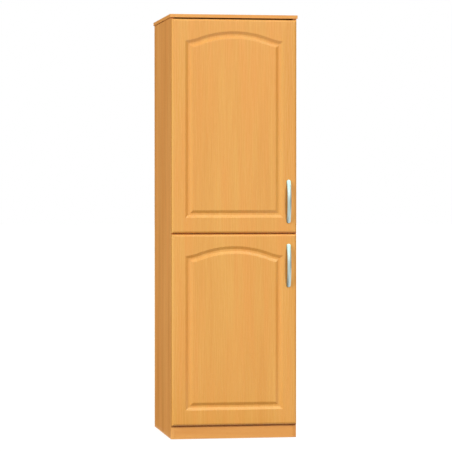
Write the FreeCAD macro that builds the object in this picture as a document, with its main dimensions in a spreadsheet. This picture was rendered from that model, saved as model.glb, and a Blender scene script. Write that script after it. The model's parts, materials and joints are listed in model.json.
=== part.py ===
import FreeCAD, Part
import math
import os
import re
import Sketcher

# Tall kitchen cabinet that houses a built-in refrigerator behind its lower door, with storage above.
# Millimetres. X runs to the right, Y to the back, Z up. The floor is Z 0, and the origin is the
# middle of the outer box, so the doors and handles face -Y. Both doors hang on the left side.

V = FreeCAD.Vector
doc = FreeCAD.newDocument("refrigerator_housing")

# Driving dimensions
SIZES = {
    "cabinet_width": 600,
    "cabinet_height": 2000,
    "carcase_depth": 579,
    "board": 16,
    "plinth_height": 64,
    "niche_height": 880,
    "top_side_overhang": 5,
    "top_front_overhang": 10,
    # Air duct behind the upper back panel, open at the top
    "duct_depth": 42,
    "vent_width": 400,
    "back_thickness": 3,
    "back_groove_depth": 8,
    "back_groove_play": 0.2,
    "rail_height": 100,
    "rail_dowel_inset": 25,
    "wall_hole_radius": 3.5,
    "wall_hole_spacing": 400,
    # Adjustable shelves
    "shelf_setback": 20,
    "shelf_play": 1,
    "shelf_pin_radius": 2.5,
    "shelf_pin_head_radius": 3.5,
    "shelf_pin_head_length": 7,
    "shelf_pin_hole_depth": 9,
    "shelf_pin_shank": 8,
    "shelf_row_inset": 60,
    "hole_pitch": 32,
    # Dowels and cam fittings
    "dowel_radius": 4,
    "dowel_length": 30,
    "dowel_in_face": 11,
    "dowel_inset": 60,
    "joint_play": 0.05,
    "drill_extra": 1,
    "cam_radius": 7.5,
    "cam_depth": 12,
    "cam_reach": 34,
    "cam_inset": 100,
    "cam_slot_width": 2,
    "cam_slot_depth": 2,
    "bolt_radius": 3,
    "bolt_in_face": 11,
    "bolt_bore_radius": 4,
    # Doors
    "door_thickness": 18,
    "door_gap": 3,
    "door_reveal": 1,
    "door_split": 5,
    "door_top_gap": 6.5,
    "door_edge_radius": 9,
    "stile_width": 65,
    "rail_width": 72,
    "arch_rail_width": 56,
    "arch_radius": 485,
    "arch_reach": 170,
    "shoulder_radius": 250,
    # Section of the routed groove, from its outer edge to the raised field
    "groove_width": 39,
    "groove_depth": 7,
    "edge_break_width": 1,
    "edge_break_depth": 0.3,
    "wall_width": 14,
    "valley_width": 9,
    "flank_width": 7,
    "flank_depth": 2.4,
    "roll_width": 5,
    "roll_depth": 0.5,
    "bumper_radius": 5,
    "bumper_inset": 30,
    "bumper_play": 0.3,
    # Bow handles
    "handle_length": 206,
    "handle_width": 18,
    "handle_projection": 28,
    "handle_strap": 6.5,
    "handle_foot": 16,
    "handle_foot_height": 7,
    "handle_hole_inset": 7,
    "handle_end_radius": 8,
    "handle_edge_radius": 2,
    "handle_edge_inset": 40,
    "upper_handle_inset": 46.5,
    "lower_handle_inset": 45.5,
    "handle_thread_depth": 8,
    "handle_screw_radius": 2,
    "handle_screw_head_radius": 4,
    "handle_screw_head": 2.5,
    # Hinges
    "hinge_end_inset": 100,
    "hinge_pivot_edge": 7.2,
    "hinge_pivot_depth": 9,
    "cup_edge": 3,
    "cup_radius": 17.5,
    "cup_depth": 13,
    "cup_wall": 0.9,
    "cup_bore_play": 0.15,
    "flange_thickness": 1.2,
    "flange_rim": 2,
    "flange_ear_half": 5,
    "cup_screw_shift": 9.5,
    "cup_screw_spacing": 45,
    "cup_screw_radius": 1.5,
    "cup_screw_length": 11,
    "cup_screw_head_radius": 3.2,
    "cup_screw_head": 1.4,
    "hinge_pin_radius": 1.25,
    "hinge_pin_play": 0.05,
    "cheek_width": 2.5,
    "cheek_play": 0.3,
    "cheek_wall": 0.65,
    "eye_radius": 2.4,
    "neck_half": 2.2,
    "reach_rise": 0.2,
    "neck_half_width": 4,
    "neck_offset": 17.5,
    "arm_front_inset": 4,
    "arm_length": 58,
    "arm_half_width": 7,
    "arm_wall": 1.5,
    "arm_screw_radius": 2.5,
    "arm_screw_head_radius": 4,
    "arm_screw_head": 1.5,
    "arm_screw_length": 5,
    "arm_screw_inset": 14,
    "plate_thickness": 2,
    "plate_line": 37,
    "plate_half_height": 23,
    "plate_half_width": 9,
    "plate_screw_radius": 2.5,
    "plate_screw_length": 11,
    "plate_screw_head_radius": 4,
    "plate_screw_head": 2,
}

# Places worked out from the driving dimensions
PLACES = {
    "carcase_front": "(door_gap + door_thickness + handle_projection - carcase_depth) / 2",
    "carcase_back": "carcase_front + carcase_depth",
    "outer_left": "-cabinet_width / 2",
    "outer_right": "cabinet_width / 2",
    "inner_left": "outer_left + board",
    "inner_right": "outer_right - board",
    "side_top": "cabinet_height - board",
    "niche_floor": "plinth_height + board",
    "divider_under": "niche_floor + niche_height",
    "divider_top": "divider_under + board",
    "duct_front": "carcase_back - duct_depth",
    "rail_front": "carcase_back - board",
    "back_front": "duct_front - back_thickness",
    "door_left": "outer_left + door_reveal",
    "door_right": "outer_right - door_reveal",
    "door_back": "carcase_front - door_gap",
    "door_front": "door_back - door_thickness",
    "door_split_level": "divider_under + board / 2",
    "lower_door_bottom": "plinth_height",
    "lower_door_top": "door_split_level - door_split / 2",
    "upper_door_bottom": "door_split_level + door_split / 2",
    "upper_door_top": "side_top - door_top_gap",
    "panel_half": "(door_right - door_left) / 2 - stile_width",
    # The two shelves part the storage in three, on half steps of the pin holes
    "shelf_spacing": "round((side_top - divider_top) / 3 / (hole_pitch / 2)) * hole_pitch / 2",
    "shelf_row_front": "carcase_front + plate_line",
    "shelf_row_back": "back_front - shelf_row_inset",
    "handle_across": "door_right - handle_edge_inset",
    "handle_hole_spacing": "handle_length - 2 * handle_hole_inset",
    "upper_handle_level": "upper_door_bottom + upper_handle_inset + handle_length / 2",
    "lower_handle_level": "lower_door_top - lower_handle_inset - handle_length / 2",
    "hinge_axis_x": "door_left + hinge_pivot_edge",
    "hinge_axis_y": "door_back - hinge_pivot_depth",
    "cup_x": "door_left + cup_edge + cup_radius",
    "cup_screw_x": "cup_x + cup_screw_shift",
    "cheek_half": "hinge_pin_radius + cheek_wall",
    "pin_half": "neck_half_width + cheek_play + cheek_width",
    "neck_x": "hinge_axis_x + neck_offset",
    "arm_outer": "neck_x + neck_half",
    "arm_web": "arm_outer - arm_wall",
    "arm_front": "carcase_front + arm_front_inset",
    "arm_back": "arm_front + arm_length",
    "plate_face": "inner_left + plate_thickness",
    "plate_y": "carcase_front + plate_line",
}


def bound(formula):
    """Formula with each size or place named in its sheet, as an expression wants it."""
    def sheet_name(word):
        if word.group() in SIZES:
            return "Sizes." + word.group()
        if word.group() in PLACES:
            return "Places." + word.group()
        return word.group()
    return re.sub(r"[a-z_]+", sheet_name, str(formula))


def fill_sheet(name, entries, prefix):
    sheet = doc.addObject("Spreadsheet::Sheet", name)
    for row, (alias, content) in enumerate(entries.items(), start=1):
        sheet.set(f"A{row}", alias)
        sheet.set(f"B{row}", prefix + (bound(content) if prefix else str(content)))
        sheet.setAlias(f"B{row}", alias)
    doc.recompute()
    return sheet


sizes = fill_sheet("Sizes", SIZES, "")
places = fill_sheet("Places", PLACES, "=")
trial = doc.addObject("Spreadsheet::Sheet", "Trial")


def measure(formula):
    """Number that a formula gives with the present sizes."""
    trial.set("A1", "=" + bound(formula))
    trial.recompute()
    return float(trial.get("A1"))


def bind(item, **formulas):
    """Tie properties to formulas; x, y and z stand for the place of the item."""
    for name, formula in formulas.items():
        target = "Placement.Base." + name if name in ("x", "y", "z") else name
        item.setExpression(target, bound(formula))
    return item


# Solids cut from boards and bars

TURNS = {
    "X": FreeCAD.Rotation(V(0, 1, 0), 90),
    "-X": FreeCAD.Rotation(V(0, 1, 0), -90),
    "Y": FreeCAD.Rotation(V(1, 0, 0), -90),
    "-Y": FreeCAD.Rotation(V(1, 0, 0), 90),
    "Z": FreeCAD.Rotation(),
    "-Z": FreeCAD.Rotation(V(1, 0, 0), 180),
}


def opposite(axis):
    return axis[1:] if axis.startswith("-") else "-" + axis


def shifted(point, axis, distance):
    """Point moved along an axis by a formula."""
    index = "XYZ".index(axis[-1])
    sign = "-" if axis.startswith("-") else "+"
    moved = list(point)
    moved[index] = f"({point[index]}) {sign} ({distance})"
    return moved


def block(name, x, y, z):
    """Box between pairs of low and high formulas."""
    box = doc.addObject("Part::Box", name)
    bind(box, x=x[0], y=y[0], z=z[0])
    bind(box, Length=f"({x[1]}) - ({x[0]})", Width=f"({y[1]}) - ({y[0]})", Height=f"({z[1]}) - ({z[0]})")
    return box


def rod(name, start, axis, radius, length):
    """Cylinder from a start point along an axis."""
    cylinder = doc.addObject("Part::Cylinder", name)
    cylinder.Placement = FreeCAD.Placement(V(), TURNS[axis])
    return bind(cylinder, x=start[0], y=start[1], z=start[2], Radius=radius, Height=length)


def group(name, items):
    compound = doc.addObject("Part::Compound", name)
    compound.Links = items
    return compound


def fuse(name, items):
    fusion = doc.addObject("Part::MultiFuse", name)
    fusion.Shapes = items
    return fusion


def cut(name, base, tools):
    difference = doc.addObject("Part::Cut", name)
    difference.Base = base
    difference.Tool = fuse(name + "_tools", tools) if len(tools) > 1 else tools[0]
    return difference


def headed_pin(name, place, axis, radius, length, head_radius, head):
    shank = rod(name + "_shank", place, axis, radius, length)
    top = rod(name + "_head", place, opposite(axis), head_radius, head)
    return fuse(name, [shank, top])


# Carcase boards, each with the drillings that its joints ask for

INNER = ("inner_left", "inner_right")
boards = {
    "side_left": block("side_left_blank", ("outer_left", "inner_left"),
                       ("carcase_front", "carcase_back"), ("0", "side_top")),
    "side_right": block("side_right_blank", ("inner_right", "outer_right"),
                        ("carcase_front", "carcase_back"), ("0", "side_top")),
    "top_board": block("top_board_blank",
                       ("outer_left - top_side_overhang", "outer_right + top_side_overhang"),
                       ("carcase_front - top_front_overhang", "carcase_back"),
                       ("side_top", "cabinet_height")),
    "bottom_board": block("bottom_board_blank", INNER, ("carcase_front", "duct_front"),
                          ("plinth_height", "niche_floor")),
    "divider_board": block("divider_board_blank", INNER, ("carcase_front", "duct_front"),
                           ("divider_under", "divider_top")),
    "plinth_board": block("plinth_board_blank", INNER, ("carcase_front", "carcase_front + board"),
                          ("0", "plinth_height")),
    "rear_plinth_rail": block("rear_plinth_rail_blank", INNER, ("duct_front - board", "duct_front"),
                              ("0", "plinth_height")),
    "middle_rear_rail": block("middle_rear_rail_blank", INNER, ("rail_front", "carcase_back"),
                              ("divider_top - rail_height", "divider_top")),
    "top_rear_rail": block("top_rear_rail_blank", INNER, ("rail_front", "carcase_back"),
                           ("side_top - rail_height", "side_top")),
}
drillings = {name: [] for name in boards}
dowels = []
cam_locks = []
cam_bolts = []


def drill(board, start, axis, radius, length):
    tool = rod(f"{board}_drill_{len(drillings[board])}", start, axis, radius, length)
    drillings[board].append(tool)


def dowel(face_board, edge_board, at, axis):
    """Dowel that stands in the face of one board and in the edge of the next, along axis."""
    start = shifted(at, opposite(axis), "dowel_in_face")
    dowels.append(rod(f"dowel_{len(dowels)}", start, axis, "dowel_radius", "dowel_length"))
    hole = "dowel_radius + joint_play"
    drill(face_board, at, opposite(axis), hole, "dowel_in_face + drill_extra")
    drill(edge_board, at, axis, hole, "dowel_length - dowel_in_face + drill_extra")


def cam_joint(face_board, edge_board, at, axis, cam_start, cam_axis):
    """Bolt from a board's face into the edge of the next, drawn tight by a cam lock there."""
    number = len(cam_locks)
    start = shifted(at, opposite(axis), "bolt_in_face")
    cam_bolts.append(rod(f"cam_bolt_{number}", start, axis, "bolt_radius", "bolt_in_face + cam_reach"))
    drill(face_board, at, opposite(axis), "bolt_radius + joint_play", "bolt_in_face + drill_extra")
    drill(edge_board, at, axis, "bolt_bore_radius", "cam_reach")
    drill(edge_board, cam_start, cam_axis, "cam_radius + joint_play", "cam_depth + drill_extra")
    disc = rod(f"cam_disc_{number}", cam_start, cam_axis, "cam_radius", "cam_depth")
    seat_end = shifted(at, axis, "cam_reach + joint_play")
    seat = rod(f"cam_seat_{number}", seat_end, opposite(axis), "bolt_radius + joint_play",
               "cam_radius + drill_extra")
    slot = driver_slot(f"cam_slot_{number}", cam_start, cam_axis)
    cam_locks.append(cut(f"cam_lock_{number}", disc, [seat, slot]))


def driver_slot(name, start, axis):
    """Straight driver slot across the face of a cam lock."""
    halves = ["cam_slot_width / 2", "cam_radius", "cam_slot_width / 2"]
    halves["XYZ".index(axis[-1])] = "cam_slot_depth"
    return block(name, *[(f"({at}) - {half}", f"({at}) + {half}") for at, half in zip(start, halves)])


SIDES = (("side_left", "inner_left", "X", "+"), ("side_right", "inner_right", "-X", "-"))
SIDE_MIDDLE = {"side_left": "inner_left - board / 2", "side_right": "inner_right + board / 2"}

for side, face, inward, sign in SIDES:
    for shelf, under in (("bottom_board", "plinth_height"), ("divider_board", "divider_under")):
        middle = f"{under} + board / 2"
        for along in ("carcase_front + dowel_inset", "duct_front - dowel_inset"):
            dowel(side, shelf, (face, along, middle), inward)
        for along in ("carcase_front + cam_inset", "duct_front - cam_inset"):
            cam_place = (f"{face} {sign} cam_reach", along, under)
            cam_joint(side, shelf, (face, along, middle), inward, cam_place, "Z")
    for along in ("carcase_front + dowel_inset", "carcase_back - dowel_inset"):
        dowel("top_board", side, (SIDE_MIDDLE[side], along, "side_top"), "-Z")
    for along in ("carcase_front + cam_inset", "carcase_back - cam_inset"):
        cam_place = (face, along, "side_top - cam_reach")
        cam_joint("top_board", side, (SIDE_MIDDLE[side], along, "side_top"), "-Z", cam_place,
                  opposite(inward))
    for rail, along in (("plinth_board", "carcase_front + board / 2"),
                        ("rear_plinth_rail", "duct_front - board / 2")):
        dowel(side, rail, (face, along, "plinth_height / 2"), inward)
    for rail, upper in (("middle_rear_rail", "divider_top"), ("top_rear_rail", "side_top")):
        for level in (f"{upper} - rail_dowel_inset", f"{upper} - rail_height + rail_dowel_inset"):
            dowel(side, rail, (face, "carcase_back - board / 2", level), inward)

# Air outlet in the top board and holes for the wall screws
drillings["top_board"].append(block("vent_slot", ("-vent_width / 2", "vent_width / 2"),
                                    ("duct_front", "rail_front"), ("side_top", "cabinet_height")))
for rail, upper in (("middle_rear_rail", "divider_top"), ("top_rear_rail", "side_top")):
    for sign in ("-", "+"):
        start = (f"{sign}wall_hole_spacing / 2", "rail_front", f"{upper} - rail_height / 2")
        drill(rail, start, "Y", "wall_hole_radius", "board")

# Thin back panel of the upper part, in grooves of the two sides
groove_y = ("back_front - back_groove_play / 2", "duct_front + back_groove_play / 2")
drillings["side_left"].append(block("left_back_groove", ("inner_left - back_groove_depth", "inner_left"),
                                    groove_y, ("divider_top", "side_top")))
drillings["side_right"].append(block("right_back_groove", ("inner_right", "inner_right + back_groove_depth"),
                                     groove_y, ("divider_top", "side_top")))
back_reach = "back_groove_depth - back_groove_play"
block("upper_back_panel", (f"inner_left - ({back_reach})", f"inner_right + ({back_reach})"),
      ("back_front", "duct_front"), ("divider_top", "side_top"))

# Adjustable shelves on pins; spare pin holes lie one pitch above and below
shelf_pins = []
for number in (1, 2):
    under = f"divider_top + {number} * shelf_spacing"
    block(f"adjustable_shelf_{number}", ("inner_left + shelf_play", "inner_right - shelf_play"),
          ("carcase_front + shelf_setback", "back_front - shelf_play"), (under, f"{under} + board"))
    level = f"{under} - shelf_pin_head_radius"
    for side, face, inward, sign in SIDES:
        outward = opposite(inward)
        for row in ("shelf_row_front", "shelf_row_back"):
            for step in (-1, 0, 1):
                hole = (face, row, f"{level} + {step} * hole_pitch")
                drill(side, hole, outward, "shelf_pin_radius + joint_play", "shelf_pin_hole_depth")
            name = f"shelf_pin_{len(shelf_pins)}"
            shelf_pins.append(headed_pin(name, (face, row, level), outward, "shelf_pin_radius",
                                              "shelf_pin_shank", "shelf_pin_head_radius",
                                              "shelf_pin_head_length"))
group("shelf_pins", shelf_pins)
group("dowels", dowels)
group("cam_locks", cam_locks)
group("cam_bolts", cam_bolts)


# Sketches

def origin_plane(body, role):
    return [plane for plane in body.Origin.OriginFeatures if plane.Role == role][0]


def new_sketch(body, name, role):
    sketch = body.newObject("Sketcher::SketchObject", name)
    sketch.AttachmentSupport = [(origin_plane(body, role), "")]
    sketch.MapMode = "FlatFace"
    return sketch


def pin_down(sketch, geometry, vertex, across, up):
    """Hold one vertex of a sketch at a pair of formulas."""
    for kind, formula in (("DistanceX", across), ("DistanceY", up)):
        constraint = Sketcher.Constraint(kind, -1, 1, geometry, vertex, measure(formula))
        index = sketch.addConstraint(constraint)
        sketch.setExpression(f"Constraints[{index}]", bound(formula))


def hold_across(sketch, geometry, vertex, formula):
    constraint = Sketcher.Constraint("DistanceX", -1, 1, geometry, vertex, measure(formula))
    index = sketch.addConstraint(constraint)
    sketch.setExpression(f"Constraints[{index}]", bound(formula))


def set_radius(sketch, geometry, formula):
    index = sketch.addConstraint(Sketcher.Constraint("Radius", geometry, measure(formula)))
    sketch.setExpression(f"Constraints[{index}]", bound(formula))


def join_ends(sketch, kind, pairs):
    """Join pairs of (edge, vertex); an arc's vertices 1 and 2 run anticlockwise."""
    for first, second in pairs:
        sketch.addConstraint(Sketcher.Constraint(kind, *first, *second))


def corner(point):
    return V(measure(point[0]), measure(point[1]), 0)


def close_loop(sketch, count):
    for edge in range(count):
        sketch.addConstraint(Sketcher.Constraint("Coincident", edge, 2, (edge + 1) % count, 1))


def polygon(body, name, role, corners):
    """Closed outline of straight lines through pairs of formulas."""
    sketch = new_sketch(body, name, role)
    points = [corner(point) for point in corners]
    for edge, point in enumerate(points):
        sketch.addGeometry(Part.LineSegment(point, points[(edge + 1) % len(points)]), False)
    close_loop(sketch, len(points))
    for edge, point in enumerate(corners):
        pin_down(sketch, edge, 1, *point)
    return sketch


def circles(body, name, role, centres, radius):
    sketch = new_sketch(body, name, role)
    for index, centre in enumerate(centres):
        sketch.addGeometry(Part.Circle(corner(centre), V(0, 0, 1), measure(radius)), False)
        pin_down(sketch, index, 3, *centre)
        set_radius(sketch, index, radius)
    return sketch


def feature(body, kind, name, profile, **formulas):
    item = body.newObject("PartDesign::" + kind, name)
    item.Profile = profile
    bind(item, **formulas)
    return item


def pocket(body, name, profile, depth):
    """Cut away from a body's XZ plane towards -Y."""
    before = body.Shape.Volume
    item = feature(body, "Pocket", name, profile, Length=depth)
    item.Reversed = True
    doc.recompute()
    if body.Shape.Volume >= before:
        raise RuntimeError(f"{name} cuts nothing")
    return item


def round_edges(body, name, base, chosen, radius):
    """Fillet the edges of the last feature that a test picks out."""
    names = [f"Edge{index}" for index, edge in enumerate(base.Shape.Edges, start=1) if chosen(edge)]
    fillet = body.newObject("PartDesign::Fillet", name)
    fillet.Base = (base, names)
    bind(fillet, Radius=radius)
    doc.recompute()
    return fillet


# Hinge places along each door

HINGES = {
    "upper": ("upper_door_bottom + hinge_end_inset",
              "(upper_door_bottom + upper_door_top) / 2",
              "upper_door_top - hinge_end_inset"),
    "lower": ("lower_door_bottom + hinge_end_inset",
              "lower_door_top - hinge_end_inset"),
}


# Doors: a blank with rounded front edges and one routed groove round an arched raised field

def arched_path(body, name, bottom, apex):
    """Outer edge of the groove: straight foot and stiles, an arch and two shoulder curves."""
    half = measure("panel_half")
    low = measure(bottom)
    radius = measure("arch_radius")
    shoulder = measure("shoulder_radius")
    reach = measure("arch_reach")
    centre_z = measure(apex) - radius
    lean = math.asin(reach / radius)
    join = V(reach, centre_z + radius * math.cos(lean), 0)
    hub = V((radius + shoulder) * math.sin(lean), centre_z + (radius + shoulder) * math.cos(lean), 0)
    end_lean = math.asin((hub.x - half) / shoulder)
    mid_lean = (lean + end_lean) / 2
    end = V(half, hub.y - shoulder * math.cos(end_lean), 0)
    middle = V(hub.x - shoulder * math.sin(mid_lean), hub.y - shoulder * math.cos(mid_lean), 0)

    def other(point):
        return V(-point.x, point.y, 0)

    sketch = new_sketch(body, name, "XZ_Plane")
    sketch.setExpression("AttachmentOffset.Base.z", bound("door_thickness"))
    foot = V(0, low, 0)
    heel = V(half, low, 0)
    sketch.addGeometry(Part.LineSegment(foot, heel), False)
    sketch.addGeometry(Part.LineSegment(heel, end), False)
    sketch.addGeometry(Part.Arc(end, middle, join), False)
    sketch.addGeometry(Part.Arc(join, V(0, centre_z + radius, 0), other(join)), False)
    sketch.addGeometry(Part.Arc(other(join), other(middle), other(end)), False)
    sketch.addGeometry(Part.LineSegment(other(end), other(heel)), False)
    sketch.addGeometry(Part.LineSegment(other(heel), foot), False)
    join_ends(sketch, "Coincident", [((0, 2), (1, 1)), ((1, 2), (2, 2)), ((4, 1), (5, 1)),
                                     ((5, 2), (6, 1)), ((6, 2), (0, 1))])
    join_ends(sketch, "Tangent", [((2, 1), (3, 1)), ((3, 2), (4, 2))])
    pin_down(sketch, 0, 1, "0", bottom)
    pin_down(sketch, 0, 2, "panel_half", bottom)
    pin_down(sketch, 6, 1, "-panel_half", bottom)
    pin_down(sketch, 3, 3, "0", f"{apex} - arch_radius")
    hold_across(sketch, 1, 2, "panel_half")
    hold_across(sketch, 5, 1, "-panel_half")
    hold_across(sketch, 3, 1, "arch_reach")
    hold_across(sketch, 3, 2, "-arch_reach")
    set_radius(sketch, 3, "arch_radius")
    set_radius(sketch, 2, "shoulder_radius")
    set_radius(sketch, 4, "shoulder_radius")
    return sketch


def groove_section(body, name, bottom):
    """Section of the router cut: wall, flat valley, and a flank that rolls over to the field."""
    def at(width, depth):
        return (f"{depth} - door_thickness", f"{bottom} + {width}")

    valley_end = "wall_width + valley_width"
    flank_end = f"{valley_end} + flank_width"
    open_side = "-door_gap"
    corners = [
        at("0", open_side),
        at("0", "0"),
        at("edge_break_width", "edge_break_depth"),
        at("wall_width", "groove_depth"),
        at(valley_end, "groove_depth"),
        at(flank_end, "flank_depth"),
        at(f"{flank_end} + roll_width", "roll_depth"),
        at("groove_width", "0"),
        at("groove_width", open_side),
    ]
    return polygon(body, name, "YZ_Plane", corners)


def make_door(which, handle_level):
    name = f"{which}_door"
    bottom = f"{name}_bottom"
    top = f"{name}_top"
    body = doc.addObject("PartDesign::Body", name)
    bind(body, y="door_back")
    outline = polygon(body, f"{name}_outline", "XZ_Plane",
                      [("door_left", bottom), ("door_right", bottom),
                       ("door_right", top), ("door_left", top)])
    blank = feature(body, "Pad", f"{name}_blank", outline, Length="door_thickness")
    doc.recompute()
    front = -measure("door_thickness")

    def on_front(edge):
        return all(abs(vertex.Y - front) < 0.001 for vertex in edge.Vertexes)

    rounded = round_edges(body, f"{name}_rounding", blank, on_front, "door_edge_radius")
    path = arched_path(body, f"{name}_arch", f"{bottom} + rail_width", f"{top} - arch_rail_width")
    section = groove_section(body, f"{name}_section", f"{bottom} + rail_width")
    doc.recompute()
    groove = body.newObject("PartDesign::SubtractivePipe", f"{name}_groove")
    groove.Profile = section
    groove.Spine = (path, [f"Edge{index}" for index in range(1, len(path.Shape.Edges) + 1)])
    groove.Transition = "Right corner"
    doc.recompute()
    if groove.Shape.Volume >= rounded.Shape.Volume:
        raise RuntimeError(f"{name}_groove cuts nothing")
    cups = [("cup_x", level) for level in HINGES[which]]
    cup_bores = circles(body, f"{name}_cup_circles", "XZ_Plane", cups, "cup_radius + cup_bore_play")
    pocket(body, f"{name}_cup_bores", cup_bores, "cup_depth + cup_bore_play")
    pilots = []
    for level in HINGES[which]:
        for sign in ("-", "+"):
            pilots.append(("cup_screw_x", f"{level} {sign} cup_screw_spacing / 2"))
    pilot_holes = circles(body, f"{name}_pilot_circles", "XZ_Plane", pilots,
                          "cup_screw_radius + joint_play")
    pocket(body, f"{name}_pilot_holes", pilot_holes, "cup_screw_length")
    screws = [("handle_across", f"{handle_level} {sign} handle_hole_spacing / 2") for sign in ("-", "+")]
    screw_holes = circles(body, f"{name}_screw_circles", "XZ_Plane", screws,
                          "handle_screw_radius + joint_play")
    pocket(body, f"{name}_screw_holes", screw_holes, "door_thickness")


# Bow handles: a curved strap, thicker at its two feet, with rounded ends and edges

def make_handle(which, level):
    name = f"{which}_handle"
    body = doc.addObject("PartDesign::Body", name)
    bind(body, x="handle_across", y="door_front", z=level)
    sketch = new_sketch(body, f"{name}_side_view", "YZ_Plane")
    sketch.setExpression("AttachmentOffset.Base.z", bound("-handle_width / 2"))
    end = "handle_length / 2"
    heel = "handle_length / 2 - handle_foot"
    rise = "(handle_projection - handle_foot_height)"
    hollow = "(handle_projection - handle_strap)"
    foot_low = ("0", f"-({end})")
    toe_low = ("-handle_foot_height", f"-({end})")
    toe_high = ("-handle_foot_height", end)
    foot_high = ("0", end)
    heel_high = ("0", heel)
    heel_low = ("0", f"-({heel})")
    bow_top = ("-handle_projection", "0")
    hollow_top = (f"-{hollow}", "0")
    sketch.addGeometry(Part.LineSegment(corner(foot_low), corner(toe_low)), False)
    sketch.addGeometry(Part.Arc(corner(toe_low), corner(bow_top), corner(toe_high)), False)
    sketch.addGeometry(Part.LineSegment(corner(toe_high), corner(foot_high)), False)
    sketch.addGeometry(Part.LineSegment(corner(foot_high), corner(heel_high)), False)
    sketch.addGeometry(Part.Arc(corner(heel_high), corner(hollow_top), corner(heel_low)), False)
    sketch.addGeometry(Part.LineSegment(corner(heel_low), corner(foot_low)), False)
    join_ends(sketch, "Coincident", [((0, 2), (1, 2)), ((1, 1), (2, 1)), ((2, 2), (3, 1)),
                                     ((3, 2), (4, 1)), ((4, 2), (5, 1)), ((5, 2), (0, 1))])
    for edge, vertex, point in ((0, 1, foot_low), (0, 2, toe_low), (2, 1, toe_high),
                                (2, 2, foot_high), (3, 2, heel_high), (5, 1, heel_low)):
        pin_down(sketch, edge, vertex, *point)
    set_radius(sketch, 1, f"(({end})^2 + {rise}^2) / (2 * {rise})")
    set_radius(sketch, 4, f"(({heel})^2 + {hollow}^2) / (2 * {hollow})")
    bar = feature(body, "Pad", f"{name}_bar", sketch, Length="handle_width")
    doc.recompute()

    def at_ends(edge):
        return edge.Curve.TypeId == "Part::GeomLine" and abs(edge.tangentAt(0).y) > 0.99 and \
            abs(abs(edge.CenterOfMass.z) - measure(end)) < 0.001

    rounded = round_edges(body, f"{name}_end_rounding", bar, at_ends, "handle_end_radius")

    def along_front(edge):
        return edge.CenterOfMass.y < -measure("handle_foot_height") / 2

    round_edges(body, f"{name}_edge_rounding", rounded, along_front, "handle_edge_radius")
    holes = [("0", f"{sign}handle_hole_spacing / 2") for sign in ("-", "+")]
    threads = circles(body, f"{name}_thread_circles", "XZ_Plane", holes, "handle_screw_radius + joint_play")
    pocket(body, f"{name}_threads", threads, "handle_thread_depth")
    screws = []
    for sign in ("-", "+"):
        place = ("handle_across", "door_back", f"{level} {sign} handle_hole_spacing / 2")
        screw = f"{which}_handle_screw_{len(screws)}"
        screws.append(headed_pin(screw, place, "-Y", "handle_screw_radius",
                                      "door_thickness + handle_thread_depth - drill_extra",
                                      "handle_screw_head_radius", "handle_screw_head"))
    group(f"{which}_handle_screws", screws)


# Hinges: a cup let into the door, a swan-neck arm that turns on a pin in the cup, and a plate on the side

def hinge_cup(name, level):
    at = ("cup_x", "door_back", level)
    well = rod(name + "_well", at, "-Y", "cup_radius", "cup_depth")
    rim = rod(name + "_rim", at, "Y", "cup_radius + flange_rim", "flange_thickness")
    ear_reach = "cup_screw_spacing / 2 + flange_ear_half"
    ears = block(name + "_ears", ("cup_screw_x - flange_ear_half", "cup_screw_x + flange_ear_half"),
                 ("door_back", "door_back + flange_thickness"),
                 (f"{level} - ({ear_reach})", f"{level} + {ear_reach}"))
    hollow = rod(name + "_hollow", ("cup_x", "door_back + flange_thickness", level), "-Y",
                 "cup_radius - cup_wall", "cup_depth + flange_thickness - cup_wall")
    bowl = cut(name + "_bowl", fuse(name + "_shell", [well, rim, ears]), [hollow])
    cheeks = []
    for low, high in (("-pin_half", "cheek_width - pin_half"), ("pin_half - cheek_width", "pin_half")):
        cheeks.append(block(f"{name}_cheek{len(cheeks)}",
                            ("hinge_axis_x - cheek_half", "hinge_axis_x + cheek_half"),
                            ("door_back - cup_depth", "hinge_axis_y + cheek_half"),
                            (f"{level} + {low}", f"{level} + {high}")))
    tools = [rod(name + "_pin_hole", ("hinge_axis_x", "hinge_axis_y", f"{level} - pin_half"), "Z",
                 "hinge_pin_radius + joint_play", "2 * pin_half")]
    screws = []
    for sign in ("-", "+"):
        place = ("cup_screw_x", "door_back", f"{level} {sign} cup_screw_spacing / 2")
        tools.append(rod(f"{name}_ear_hole{len(screws)}", place, "Y", "cup_screw_radius + joint_play",
                         "flange_thickness"))
        seat = (place[0], "door_back + flange_thickness", place[2])
        screws.append(headed_pin(f"{name}_screw{len(screws)}", seat, "-Y", "cup_screw_radius",
                                      "cup_screw_length", "cup_screw_head_radius", "cup_screw_head"))
    pin = rod(name + "_pin", ("hinge_axis_x", "hinge_axis_y", f"{level} - pin_half"), "Z",
              "hinge_pin_radius", "2 * pin_half")
    return cut(name, fuse(name + "_body", [bowl] + cheeks), tools), screws, pin


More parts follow.
